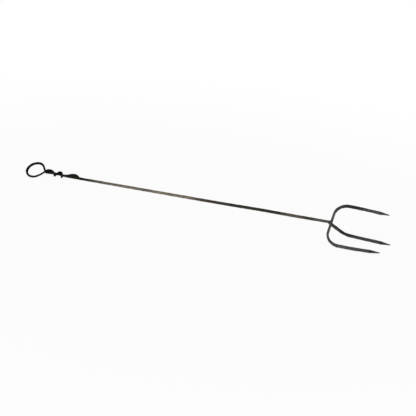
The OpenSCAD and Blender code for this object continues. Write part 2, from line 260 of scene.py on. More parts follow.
def smooth(table, x):
    """The value at x of a smooth curve through the table's rows of place and value."""
    row = 0
    while row < len(table) - 2 and x >= table[row + 1][0]:
        row += 1

    def slope(i):
        a, b = max(i - 1, 0), min(i + 1, len(table) - 1)
        return (table[b][1] - table[a][1]) / (table[b][0] - table[a][0])

    (x0, y0), (x1, y1) = table[row], table[row + 1]
    return hermite(y0, slope(row) * (x1 - x0), y1, slope(row + 1) * (x1 - x0), (x - x0) / (x1 - x0))


def bend(start, heading, turned, radius, steps):
    """Points of a round bend from start, from one heading to another."""
    turn = heading.angle(turned)
    side = (turned - turned.dot(heading) * heading).normalized()
    points = []
    for i in range(1, steps + 1):
        a = turn * i / steps
        points.append(start + radius * (math.sin(a) * heading + (1 - math.cos(a)) * side))
    return points


# A stop on a bar: where it is, which way its depth faces, its width and depth,
# how much of each the rounded edge takes, and how far the section leans to its wide side

class Stop:
    def __init__(self, place, deep, width, depth, cut=None, lean=0):
        self.place = Vector(place)
        self.deep = Vector(deep)
        self.width = width
        self.depth = depth
        self.cut = cut
        self.lean = lean


def framed(stops, edge):
    """Each stop's place, wide and deep directions, half sizes and corner sizes."""
    rows = []
    for i, stop in enumerate(stops):
        before = stops[max(i - 1, 0)].place
        after = stops[min(i + 1, len(stops) - 1)].place
        along = (after - before).normalized()
        deep = (stop.deep - stop.deep.dot(along) * along).normalized()
        wide = deep.cross(along)
        round_edge = min(edge, EDGE_SHARE * min(stop.width, stop.depth))
        cut = stop.cut or (round_edge, round_edge)
        place = stop.place + wide * stop.lean
        rows.append((place, wide, deep, (stop.width / 2, stop.depth / 2, 0), (*cut, 0)))
    return rows


# The largest share of a thin bar that a rounded edge takes
EDGE_SHARE = 0.42

# How the shank wanders, most of all under the tail: millimetres along, share of the pull
WANDER = ((0, 0), (8, 0.5), (19, 1), (31, 0.6), (45, -0.2), (62, -0.35), (127, -0.2), (250, 0),
          (380, 0), (465, 0.35), (550, -0.15), (607, -0.3))

# The shank's waist lies between these distances before the bow
WAIST = (60 * MM, 10 * MM)

# The tail: turns so far and place, as a share of the first or the second turn's length
FIRST_PLACES = ((-0.12, -0.05), (0, 0.1), (0.16, 0.42), (0.4, 0.68), (0.65, 0.87), (0.9, 1.16), (1.15, 1.4))
SECOND_PLACES = ((1.4, 0.1), (1.65, 0.25), (1.88, 0.62), (1.98, 0.93))
SWELLS = ((-0.12, 0), (0, 0.4), (0.13, 1.2), (0.27, 0.1), (0.4, 0), (0.65, 0.1), (0.9, 0.1),
          (1.05, 0.9), (1.14, 1), (1.28, 0.1), (1.4, 0), (1.98, 0))
TAIL_FROM, TAIL_TO = FIRST_PLACES[0][0], SECOND_PLACES[-1][0]
NECK_FROM = 1.65
# Turns over which the tail widens from the eye's arm
WIDENED = 0.25

# The leaf is beaten flat over this share of its length, slants this much of its
# width to its rim, and leans its widest place away from the neck
LEAF_SETTLED, LEAF_SLANT, LEAF_LEAN = 0.3, 0.28, 1.16

# How much of a point's taper is done along it: quickly at its shoulder, then slowly to a blunt end
POINT_TAPER = ((0, 0), (0.15, 0.2), (0.5, 0.5), (0.85, 0.82), (1, 1))
# The very end of a point is rubbed round, down to this share of its width
POINT_RUBBED = 0.5

# The shank's end at the weld swells to the near side, and a little upwards
WELD_LEAN, WELD_RISE = 0.38, 0.4 * MM

# How much of the bow's growth towards the prongs is done at its corners, near and far
NEAR_GROWTH, FAR_GROWTH = 0.1, 0.4

# Steps along each bend, round the eye, along each turn of the tail and the leaf
BEND_STEPS, EYE_STEPS, TURN_STEPS, LEAF_STEPS, THROAT_STEPS, ARM_STEPS = 28, 132, 72, 48, 12, 18


class Handle:
    """The handle bar from the weld, round the eye and the shank, to the leaf."""

    def __init__(self, fork):
        self.shank, self.eye, self.tail, self.leaf = fork.shank, fork.eye, fork.tail, fork.leaf
        self.prongs = fork.prongs
        eye, tail = self.eye, self.tail
        self.bore_radius = eye.bore / 2
        self.middle = Vector((-(self.bore_radius + eye.near_width / 2 + eye.throat), eye.offset, 0))
        facing = -math.atan2(eye.offset, -self.middle.x)
        away = self.middle.length
        self.eye_start = facing + math.acos((self.bore_radius + eye.near_width / 2) / away)
        self.eye_stop = 2 * math.pi + facing - math.acos((self.bore_radius + tail.width / 2) / away)
        self.eye_widths = (
            (self.eye_start, eye.near_width),
            (math.radians(65), eye.near_width + 0.5 * MM),
            (math.radians(110), eye.near_width + 0.4 * MM),
            (math.radians(155), eye.far_width),
            (math.radians(195), eye.far_width),
            (math.radians(235), mix(eye.far_width, tail.width, 0.35)),
            (self.eye_stop, tail.width))
        first_end = FIRST_PLACES[-1][1] * tail.first_turn
        self.places = tuple((t, p * tail.first_turn) for t, p in FIRST_PLACES) + tuple(
            (t, first_end + p * tail.second_turn) for t, p in SECOND_PLACES)
        self.wrapped = self.size_at(self.places[-1][1])
        self.wrap_inside = math.hypot(self.wrapped / 2, self.wrapped / 2 - CAD_BEVEL) + tail.clearance

    def side_at(self, x):
        """How far the shank's middle lies to one side."""
        shank = self.shank
        run = max(x, 0) / shank.length
        pull = 0
        if 0 < x < WANDER[-1][0] * MM:
            pull = smooth(WANDER, x / MM)
        return shank.weld_offset * run - shank.sag * math.sin(math.pi * run) + shank.wander * pull

    def size_at(self, x):
        shank = self.shank
        start, end = (shank.length - w for w in WAIST)
        waist = shank.weld_waist * ease((x - start) / (end - start))
        return mix(shank.thickness, shank.grip_thickness, math.exp(-max(x, 0) / shank.taper_reach)) - waist

    def eye_round(self, a):
        width = smooth(self.eye_widths, a)
        place = self.middle + (self.bore_radius + width / 2) * Vector((math.cos(a), math.sin(a), 0))
        return Stop(place, UP, width, self.eye.depth)

    def tail_height(self, t):
        tail = self.tail
        if t < NECK_FROM:
            return mix(tail.depth, tail.end_depth, max(t, 0) / NECK_FROM)
        return mix(tail.end_depth, tail.neck, ease((t - NECK_FROM) / (TAIL_TO - NECK_FROM)))

    def neck_share(self, t):
        return ease((t - NECK_FROM) / (TAIL_TO - NECK_FROM))

    def tail_wide(self, t):
        tail = self.tail
        return mix(tail.width, tail.wrap_width, ease((t - TAIL_FROM) / WIDENED) * (1 - self.neck_share(t)))

    def hug(self, around):
        """How close the tail's inner side lies: on each flat of the shank, and clear of its corners."""
        straight = max(abs(around.y), abs(around.z))
        aslant = math.sqrt(max(1 - straight * straight, 0))
        flat = (self.wrapped / 2 + self.tail.wrap_width / 2 * aslant) / straight + self.tail.clearance
        return min(flat, self.wrap_inside)

    def tail_stop(self, t):
        a = math.pi / 2 - 2 * math.pi * t
        around = Vector((0, math.cos(a), math.sin(a)))
        x = smooth(self.places, t)
        outer = self.wrap_inside + self.tail_height(t) + self.tail.swell * max(smooth(SWELLS, t), 0)
        inner = mix(self.hug(around), self.wrap_inside, self.neck_share(t))
        place = Vector((x, self.side_at(x), 0)) + (outer + inner) / 2 * around
        return Stop(place, around, self.tail_wide(t), outer - inner)

    def arm_stops(self):
        """The arm of the eye that climbs over the shank to become the tail."""
        start, end = self.eye_round(self.eye_stop).place, self.tail_stop(TAIL_FROM)
        a = self.eye_stop
        leaving = Vector((-math.sin(a), math.cos(a), 0))
        arriving = (self.tail_stop(TAIL_FROM + 0.01).place - end.place).normalized()
        span = (end.place - start).length
        stops = []
        for i in range(1, ARM_STEPS):
            t = i / ARM_STEPS
            place = hermite(start, leaving * span, end.place, arriving * span, t)
            deep = mix(UP, end.deep, ease(t))
            stops.append(Stop(place, deep, self.tail.width, mix(self.eye.depth, end.depth, t)))
        return stops

    def leaf_stop(self, t):
        leaf, tail = self.leaf, self.tail
        neck = self.tail_stop(TAIL_TO).place
        beat = ease(t / LEAF_SETTLED)
        x = neck.x + leaf.length * t
        width = (tail.width * (1 - t) + (leaf.width - tail.width / 2) * math.sin(math.pi * t ** LEAF_LEAN)
                 + self.prongs.point_end * t)
        depth = mix(tail.neck, leaf.thickness, beat)
        if t > LEAF_SETTLED:
            depth = mix(leaf.thickness, leaf.thickness / 2, ease((t - LEAF_SETTLED) / (1 - LEAF_SETTLED)))
        half = self.size_at(x) / 2
        place = (x, mix(neck.y, self.side_at(x) - half + width / 2, beat),
                 mix(neck.z, half + tail.clearance + depth / 2, beat))
        plain = EDGE_SHARE * min(width, depth)
        cut = (mix(plain, LEAF_SLANT * width, beat), mix(plain, (depth - leaf.edge) / 2, beat))
        return Stop(place, UP, width, depth, cut)

    def weld_stop(self, x):
        """The shank near the weld, where it swells to the near side and a little upwards."""
        shank = self.shank
        bow_face = shank.length - self.prongs.bow_thickness / 2
        weld_start = shank.length - shank.weld_length
        grow = min(max((x - weld_start) / (bow_face - weld_start), 0), 1) ** 2
        size = self.size_at(x)
        swell = (shank.weld_width - self.size_at(shank.length)) * grow
        return Stop((x, self.side_at(x), 0), UP, size + swell, size + WELD_RISE * grow, lean=WELD_LEAN * swell)

    def weld_stop_before(self, distance):
        return self.weld_stop(self.shank.length - distance)

    def shank_stops(self):
        shank, eye = self.shank, self.eye
        bow_face = shank.length - self.prongs.bow_thickness / 2
        weld_start = shank.length - shank.weld_length
        stops = []
        for i in range(WELD_STEPS + 1):
            stops.append(self.weld_stop(mix(bow_face, weld_start, i / WELD_STEPS)))
        steps = int((weld_start - GRIP_END) / SHANK_STEP)
        for i in range(1, steps + 1):
            x = mix(weld_start, GRIP_END, i / steps)
            stops.append(Stop((x, self.side_at(x), 0), UP, self.size_at(x), self.size_at(x)))
        end = self.shank_end()
        stops.append(Stop(end, UP, (shank.grip_thickness + eye.near_width) / 2,
                          (shank.grip_thickness + eye.depth) / 2))
        return stops

    def shank_end(self):
        reach = self.eye.throat_bend * math.tan(self.arm_heading().angle(Vector((-1, 0, 0))) / 2)
        return Vector((reach, 0, 0))

    def arm_heading(self):
        return Vector((-math.sin(self.eye_start), math.cos(self.eye_start), 0))

    def eye_stops(self):
        eye = self.eye
        throat = bend(self.shank_end(), Vector((-1, 0, 0)), self.arm_heading(), eye.throat_bend, THROAT_STEPS)
        stops = [Stop(p, UP, eye.near_width, eye.depth) for p in throat]
        for i in range(EYE_STEPS + 1):
            stops.append(self.eye_round(mix(self.eye_start, self.eye_stop, i / EYE_STEPS)))
        return stops + self.arm_stops()

    def tail_stops(self):
        steps = round((TAIL_TO - TAIL_FROM) * TURN_STEPS)
        return [self.tail_stop(mix(TAIL_FROM, TAIL_TO, i / steps)) for i in range(steps + 1)]

    def parts(self, edge):
        """The rows of shank, eye, tail and leaf, which share their end rows."""
        shank, eye, tail = self.shank_stops(), self.eye_stops(), self.tail_stops()
        leaf = [self.leaf_stop(i / LEAF_STEPS) for i in range(1, LEAF_STEPS + 1)]
        rows = framed(shank + eye + tail + leaf, edge)
        a = len(shank) - 1
        b = a + len(eye) + 1
        c = b + len(tail) - 1
        return {"shank": rows[:a + 1], "hanging_eye": rows[a:b + 1], "wrapped_tail": rows[b:c + 1],
                "leaf_end": rows[c:]}


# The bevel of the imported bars, which the tail has to clear
CAD_BEVEL = 0.45 * MM

# Steps at the weld, the spacing of the shank's stops, and where the grip ends
WELD_STEPS, SHANK_STEP, GRIP_END = 12, 3 * MM, 5.5 * MM


class Head:
    """The bow with its two prongs, and the middle prong."""

    def __init__(self, fork):
        self.prongs = fork.prongs
        self.weld_at = fork.shank.length

    def point_stops(self, start, heading):
        """A four-sided point with a slight shoulder where it starts."""
        prongs = self.prongs
        stops = []
        for i in range(POINT_STEPS + 1):
            t = i / POINT_STEPS
            taper = smooth(POINT_TAPER, t)
            size = mix(prongs.thickness, prongs.point_end, taper) * (POINT_RUBBED if i == POINT_STEPS else 1)
            stops.append(Stop(start + heading * prongs.point_length * t, UP, size, size))
        return stops

    def half_bow(self, side):
        prongs = self.prongs
        toe, belly, growth, radius = (
            (prongs.near_toe, prongs.near_belly, NEAR_GROWTH, prongs.bow_radius + prongs.near_bend) if side < 0
            else (prongs.far_toe, prongs.far_belly, FAR_GROWTH, prongs.bow_radius))
        heading = Vector((math.cos(prongs.droop) * math.cos(toe), -side * math.cos(prongs.droop) * math.sin(toe),
                          -math.sin(prongs.droop)))
        out = Vector((0, side, 0))
        corner = Vector((self.weld_at, side * (prongs.spacing / 2 - radius) - prongs.bow_shift, 0))
        points = [corner] + bend(corner, out, heading, radius, BEND_STEPS)
        stops = []
        for i, point in enumerate(points):
            size = mix(prongs.bow_thickness, prongs.thickness, mix(growth, 1, ease(i / BEND_STEPS)))
            stops.append(Stop(point, UP, size, size))
        body = prongs.length - prongs.point_length
        for i in range(1, BODY_STEPS):
            run = i / BODY_STEPS
            place = points[-1] + heading * body * run + out * belly * math.sin(math.pi * run)
            stops.append(Stop(place, UP, prongs.thickness, prongs.thickness))
        return stops + self.point_stops(points[-1] + heading * body, heading)

    def bow(self, edge):
        prongs = self.prongs
        crossing = Stop((self.weld_at, -prongs.bow_shift, 0), UP, prongs.bow_thickness, prongs.bow_thickness)
        return framed(self.half_bow(-1)[::-1] + [crossing] + self.half_bow(1), edge)

    def middle(self, edge):
        prongs = self.prongs
        sloping = Vector((math.cos(prongs.root_slope), 0, -math.sin(prongs.root_slope)))
        heading = Vector((math.cos(prongs.middle_droop), 0, -math.sin(prongs.middle_droop)))
        thick = prongs.thickness
        root = Vector((self.weld_at, -prongs.root_offset, -prongs.root_drop))
        root_to = root + sloping * prongs.root_length
        stops = [Stop(p, UP, thick, thick) for p in (root, root_to)]
        points = bend(root_to, sloping, heading, prongs.root_bend, BEND_STEPS)
        stops += [Stop(p, UP, thick, thick) for p in points]
        start = points[-1] + heading * (prongs.middle_length - prongs.point_length)
        return framed(stops + self.point_stops(start, heading), edge)


# Steps along each point, and along each outer prong's body
POINT_STEPS, BODY_STEPS = 16, 10


class Weld:
    """The ends of the four bars that meet, a little proud of them and sunk into them further out."""

    def __init__(self, fork):
        self.fork = fork
        self.handle = Handle(fork)

    def finger(self, stop_at):
        """One bar's end: stop_at gives its stop at a distance from the crossing."""
        forge = self.fork.forge
        stops = []
        for i in range(FINGER_STEPS + 1):
            t = i / FINGER_STEPS
            stop = stop_at(forge.weld_arm * t)
            proud = 2 * mix(forge.weld_swell, -forge.weld_fillet / 2, ease(t))
            stop.width += proud
            stop.depth += proud
            stops.append(stop)
        return framed(stops, forge.edge)

    def fingers(self):
        prongs = self.fork.prongs
        at = self.fork.shank.length
        thick = prongs.bow_thickness
        sloping = Vector((math.cos(prongs.root_slope), 0, -math.sin(prongs.root_slope)))
        root = Vector((at, -prongs.root_offset, -prongs.root_drop))

        def arm(side):
            return lambda d: Stop((at, side * d - prongs.bow_shift, 0), UP, thick, thick)

        return [self.finger(self.handle.weld_stop_before), self.finger(arm(-1)), self.finger(arm(1)),
                self.finger(lambda d: Stop(root + sloping * d, UP, prongs.thickness, prongs.thickness))]


# Steps along each end of the fire weld
FINGER_STEPS = 10


# Node trees: a value is a socket that maths can be written on

class Value:
    """An output socket of a node tree. An expression on values adds its Math nodes."""

    def __init__(self, bench, socket):
        self.bench, self.socket = bench, socket

    def __add__(self, other):
        return self.bench.maths("ADD", self, other)

    def __radd__(self, other):
        return self.bench.maths("ADD", other, self)

    def __sub__(self, other):
        return self.bench.maths("SUBTRACT", self, other)

    def __rsub__(self, other):
        return self.bench.maths("SUBTRACT", other, self)

    def __mul__(self, other):
        return self.bench.maths("MULTIPLY", self, other)

    def __rmul__(self, other):
        return self.bench.maths("MULTIPLY", other, self)

    def __truediv__(self, other):
        return self.bench.maths("DIVIDE", self, other)

    def __pow__(self, other):
        return self.bench.maths("POWER", self, other)


class Bench:
    """Adds nodes to one tree, geometry or shader."""

    def __init__(self, tree):
        self.tree = tree

    def node(self, kind, settings=None, inputs=None, output=0):
        """Adds a node: settings first, then the values or links of its sockets."""
        node = self.tree.nodes.new(kind)
        for name, value in (settings or {}).items():
            if name == "stops":
                self.set_stops(node.color_ramp, value)
            else:
                setattr(node, name, value)
        for key, value in (inputs or {}).items():
            self.put(node.inputs[key], value)
        return Value(self, node.outputs[output])

    def put(self, socket, value):
        if isinstance(value, Value):
            self.tree.links.new(value.socket, socket)
        else:
            socket.default_value = value

    def set_stops(self, ramp, stops):
        while len(ramp.elements) < len(stops):
            ramp.elements.new(1)
        for element, (place, tone) in zip(ramp.elements, stops):
            element.position = place
            element.color = tone if isinstance(tone, tuple) else (tone, tone, tone, 1)

    def maths(self, operation, *values):
        return self.node("ShaderNodeMath", {"operation": operation}, dict(enumerate(values)))

    def clamped(self, value):
        return self.node("ShaderNodeMath", {"operation": "ADD", "use_clamp": True}, {0: value, 1: 0.0})

    def vector(self, operation, *values):
        return self.node("ShaderNodeVectorMath", {"operation": operation}, dict(enumerate(values)))

    def scaled(self, vector, factor):
        return self.node("ShaderNodeVectorMath", {"operation": "SCALE"}, {"Vector": vector, "Scale": factor})

    def blend(self, factor, a, b):
        """A colour between a and b."""
        return self.node("ShaderNodeMix", {"data_type": "RGBA"}, {0: factor, 6: a, 7: b}, 2)

    def noise(self, vector, scale, detail=2.0, roughness=0.5):
        return self.node("ShaderNodeTexNoise", {}, {
            "Vector": vector, "Scale": scale, "Detail": detail, "Roughness": roughness})

    def parted(self, vector):
        """The three numbers of a vector."""
        first = self.node("ShaderNodeSeparateXYZ", {}, {0: vector})
        outputs = first.socket.node.outputs
        return [Value(self, outputs[i]) for i in range(3)]

    def joined(self, x, y, z):
        return self.node("ShaderNodeCombineXYZ", {}, {0: x, 1: y, 2: z})


# The sweep that forges a bar from its rows

ROW_FIELDS = ("wide", "deep", "half", "corner")
QUARTER = math.pi / 2


def forged_bar_tree():
    """A tree that sweeps a square with worn edges along a line of rows, and hammers it."""
    tree = bpy.data.node_groups.new("Forged bar", "GeometryNodeTree")
    tree.is_modifier = True
    sockets = {}
    wanted = (("Ring spacing", "NodeSocketFloat"), ("Flat steps", "NodeSocketInt"),
              ("Corner steps", "NodeSocketInt"), ("Edge wear", "NodeSocketFloat"),
              ("Wear length", "NodeSocketFloat"), ("Dent depth", "NodeSocketFloat"),
              ("Dent length", "NodeSocketFloat"), ("Drawing depth", "NodeSocketFloat"),
              ("Drawing length", "NodeSocketFloat"), ("Seed", "NodeSocketInt"),
              ("Iron", "NodeSocketMaterial"))
    tree.interface.new_socket(name="Rows", in_out="INPUT", socket_type="NodeSocketGeometry")
    for name, kind in wanted:
        sockets[name] = tree.interface.new_socket(name=name, in_out="INPUT", socket_type=kind).identifier
    tree.interface.new_socket(name="Bar", in_out="OUTPUT", socket_type="NodeSocketGeometry")
    bench = Bench(tree)
    group_in = tree.nodes.new("NodeGroupInput")
    given = {s.name: Value(bench, s) for s in group_in.outputs if s.name}

    # The line of rows, evenly spaced, which remembers where each ring belongs
    line = bench.node("GeometryNodeMeshToCurve", {}, {0: given["Rows"]})
    line = bench.node("GeometryNodeResampleCurve", {"mode": "LENGTH"},
                      {"Curve": line, "Length": given["Ring spacing"]})
    place = bench.node("GeometryNodeInputPosition")
    line = bench.node("GeometryNodeStoreNamedAttribute", {"data_type": "FLOAT_VECTOR", "domain": "POINT"},
                      {"Geometry": line, "Name": "place", "Value": place})

    # The section's points are only numbered here; the rule below places them
    per_quarter = given["Flat steps"] + given["Corner steps"]
    section = bench.node("GeometryNodeCurvePrimitiveCircle", {"mode": "RADIUS"},
                         {"Resolution": per_quarter * 4, "Radius": MM})
    number = bench.node("GeometryNodeInputIndex")
    section = bench.node("GeometryNodeStoreNamedAttribute", {"data_type": "FLOAT", "domain": "POINT"},
                         {"Geometry": section, "Name": "number", "Value": number})
    bar = bench.node("GeometryNodeCurveToMesh", {}, {"Curve": line, "Profile Curve": section, "Fill Caps": True})

    def remembered(name, kind="FLOAT_VECTOR"):
        return bench.node("GeometryNodeInputNamedAttribute", {"data_type": kind}, {"Name": name})

    # Round the section: an arc at each corner, then a flat to the next one
    number = remembered("number", "FLOAT")
    quarter = bench.maths("FLOOR", (number + 0.5) / per_quarter)
    step = number - quarter * per_quarter
    arc_steps = given["Corner steps"] - 1
    turned = bench.maths("MINIMUM", step / arc_steps, 1.0)
    facing = (quarter + turned) * QUARTER
    along_flat = bench.maths("MAXIMUM", step - arc_steps, 0.0) / (given["Flat steps"] + 1)
    corner_at = (quarter + 0.5) * QUARTER

    def corner(trig, extra):
        return bench.maths(trig, corner_at + extra) * math.sqrt(2)

    out_w, out_d = bench.maths("COSINE", facing), bench.maths("SINE", facing)
    base_w = corner("COSINE", 0.0) * (1 - along_flat) + corner("COSINE", QUARTER) * along_flat
    base_d = corner("SINE", 0.0) * (1 - along_flat) + corner("SINE", QUARTER) * along_flat
    half_w, half_d, _ = bench.parted(remembered("half"))
    cut_w, cut_d, _ = bench.parted(remembered("corner"))

    # No two edges wear alike: each has its own slow change along the bar
    def spread(vector, size):
        return bench.vector("DIVIDE", vector, bench.joined(size, size, size))

    def worn(edge_number):
        own = bench.joined(edge_number * 3.7 + given["Seed"], edge_number * 1.9, 0.0)
        noise = bench.noise(bench.vector("ADD", spread(remembered("place"), given["Wear length"]), own), 1.0, 1.0)
        return 1 + (noise - 0.5) * 2.6 * given["Edge wear"]

    next_quarter = bench.maths("MODULO", quarter + 1, 4.0)
    wear = worn(quarter) * (1 - along_flat) + worn(next_quarter) * along_flat
    cut_w = bench.maths("MINIMUM", cut_w * wear, half_w * LARGEST_CUT)
    cut_d = bench.maths("MINIMUM", cut_d * wear, half_d * LARGEST_CUT)
    wide, deep = remembered("wide"), remembered("deep")
    across = base_w * (half_w - cut_w) + out_w * cut_w
    through = base_d * (half_d - cut_d) + out_d * cut_d
    outward = bench.vector("ADD", bench.scaled(wide, out_w), bench.scaled(deep, out_d))
    surface = bench.vector("ADD", remembered("place"),
                           bench.vector("ADD", bench.scaled(wide, across), bench.scaled(deep, through)))

    # The hammer: shallow bowls on the surface, and a slow change of thickness along the bar.
    # Both move as much iron out as in, in proportion to what is there
    seed_shift = bench.joined(given["Seed"] * 0.37, given["Seed"] * 0.11, given["Seed"] * 0.73)
    dents_at = bench.vector("ADD", spread(surface, given["Dent length"]), seed_shift)
    dents = bench.node("ShaderNodeTexVoronoi", {"feature": "SMOOTH_F1"},
                       {"Vector": dents_at, "Scale": 1.0, "Smoothness": 0.35, "Randomness": 1.0})
    dent = 1 - bench.clamped(dents * dents * 2.4)
    drawing = bench.noise(
        bench.vector("ADD", spread(remembered("place"), given["Drawing length"]), seed_shift), 1.0, 1.0)
    thin = bench.clamped(bench.maths("MINIMUM", half_w, half_d) / (2.2 * MM))
    taken = ((dent - 0.5) * given["Dent depth"] + (drawing - 0.5) * 2 * given["Drawing depth"]) * thin
    hammered = bench.vector("SUBTRACT", surface, bench.scaled(outward, taken))
    bar = bench.node("GeometryNodeSetPosition", {}, {"Geometry": bar, "Position": hammered})

    # Marks that the iron's colours follow: how near an edge is, and how deep a dent
    edge = 1 - bench.clamped(bench.maths("MINIMUM", along_flat, 1 - along_flat) * 3.5)
    for name, mark in (("edge", edge), ("dent", dent)):
        bar = bench.node("GeometryNodeStoreNamedAttribute", {"data_type": "FLOAT", "domain": "POINT"},
                         {"Geometry": bar, "Name": name, "Value": mark})

    # Smooth along the bar, sharp only round its ends
    bar = bench.node("GeometryNodeSetShadeSmooth", {"domain": "FACE"}, {0: bar, "Shade Smooth": True})
    turn = bench.node("GeometryNodeInputMeshEdgeAngle")
    ends = bench.node("FunctionNodeCompare", {"data_type": "FLOAT", "operation": "GREATER_THAN"},
                      {0: turn, 1: SHARP_ANGLE})
    bar = bench.node("GeometryNodeSetShadeSmooth", {"domain": "EDGE"},
                     {0: bar, "Selection": ends, "Shade Smooth": False})
    bar = bench.node("GeometryNodeRealizeInstances", {}, {"Geometry": bar})
    bar = bench.node("GeometryNodeSetMaterial", {}, {"Geometry": bar, "Material": given["Iron"]})
    group_out = tree.nodes.new("NodeGroupOutput")
    tree.links.new(bar.socket, group_out.inputs[0])
    return tree, sockets


SHARP_ANGLE = math.radians(60)

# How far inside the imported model's box the forged bars end
TRIM = 0.01 * MM

# The largest share of a bar's half that a worn edge takes
LARGEST_CUT = 0.94


def rest_frame(fork):
    """The turn that lays the fork down, and where its crossing then is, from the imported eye's bore."""
    bore = frame["record"]["mounts"][0]
    up = Vector(bore["axis"])
    turn = Euler((-math.asin(up.y), math.atan2(up.x, up.z), 0), "XYZ").to_matrix()
    return turn, Vector(bore["pos_m"]) - turn @ Handle(fork).middle


def rows_mesh(name, rows, fork):
    """A line of vertices, one for each row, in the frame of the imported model."""
    turn, crossing = rest_frame(fork)
    mesh = bpy.data.meshes.new(name)
    mesh.from_pydata([turn @ row[0] + crossing for row in rows], [(i, i + 1) for i in range(len(rows) - 1)], [])
    for k, field in enumerate(ROW_FIELDS):
        attribute = mesh.attributes.new(field, "FLOAT_VECTOR", "POINT")
        numbers = []
        for row in rows:
            value = Vector(row[k + 1])
            numbers.extend(turn @ value if field in ("wide", "deep") else value)
        attribute.data.foreach_set("vector", numbers)
    return mesh


def kept_tree(name, build):
    """The tree of that name with its sockets, built once."""
    if name not in TREES:
        TREES[name] = build()
    return TREES[name]


TREES = {}


def forge(name, rows, iron, fork, hammered=True):
    """Forges one bar from its rows and returns it as a plain mesh object."""
    bar = bpy.data.objects.new(name, rows_mesh(name + "_rows", rows, fork))
    bpy.context.scene.collection.objects.link(bar)
    tree, sockets = kept_tree("Forged bar", forged_bar_tree)
    modifier = bar.modifiers.new("Forged bar", "NODES")
    modifier.node_group = tree
    size = fork.forge
    values = {"Ring spacing": size.ring_gap, "Flat steps": size.flat_steps, "Corner steps": size.corner_steps,
              "Edge wear": size.edge_wear, "Wear length": size.wear_length,
              "Dent depth": size.dent_depth, "Dent length": size.dent_length, "Drawing depth": size.draw_depth,
              "Drawing length": size.draw_length, "Seed": size.seed, "Iron": iron}
    if not hammered:
        values.update({"Edge wear": 0.0, "Dent depth": 0.0, "Drawing depth": 0.0})
    for key, value in values.items():
        modifier[sockets[key]] = value
    return settled(bar)


def settled(piece):
    """Turns what the modifiers make into the piece's own plain mesh."""
    bpy.context.view_layer.update()
    seen = piece.evaluated_get(bpy.context.evaluated_depsgraph_get())
    mesh = bpy.data.meshes.new_from_object(seen)
    mesh.name = piece.name
    for attribute in [a.name for a in mesh.attributes if a.name in ROW_FIELDS + ("place", "number")]:
        mesh.attributes.remove(mesh.attributes[attribute])
    # The iron lies flat where it touches the table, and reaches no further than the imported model
    low, high = CAD_BOX
    for vertex in mesh.vertices:
        vertex.co = [min(max(c, a + TRIM), b - TRIM) for c, a, b in zip(vertex.co, low, high)]
    piece.modifiers.clear()
    piece.data = mesh
    return piece


def run_together(name, ends, iron, size):
    """Joins bars into one skin whose inner corners are filled."""
    shape = bmesh.new()
    for end in ends:
        shape.from_mesh(end.data)
        bpy.data.objects.remove(end)
    mesh = bpy.data.meshes.new(name)
    shape.to_mesh(mesh)
    shape.free()
    mesh.materials.append(iron)
    piece = bpy.data.objects.new(name, mesh)
    bpy.context.scene.collection.objects.link(piece)
    for push in (size.weld_fillet, -size.weld_fillet, 0):
        skin = piece.modifiers.new("Skin", "REMESH")
        skin.mode, skin.voxel_size, skin.use_smooth_shade = "VOXEL", size.weld_grain, True
        if push:
            swell = piece.modifiers.new("Swell", "DISPLACE")
            swell.strength, swell.mid_level = push, 0
    rub = piece.modifiers.new("Rub", "SMOOTH")
    rub.factor, rub.iterations = 0.5, 6
    return settled(piece)


def dress(piece, slot, *nodes):
    """Lets a piece ride on the fork and stand for its nodes; the slot is not used."""
    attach(piece, BODY)
    if nodes:
        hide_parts(*nodes)


# The iron

def linear(tone):
    return (*tone, 1.0)


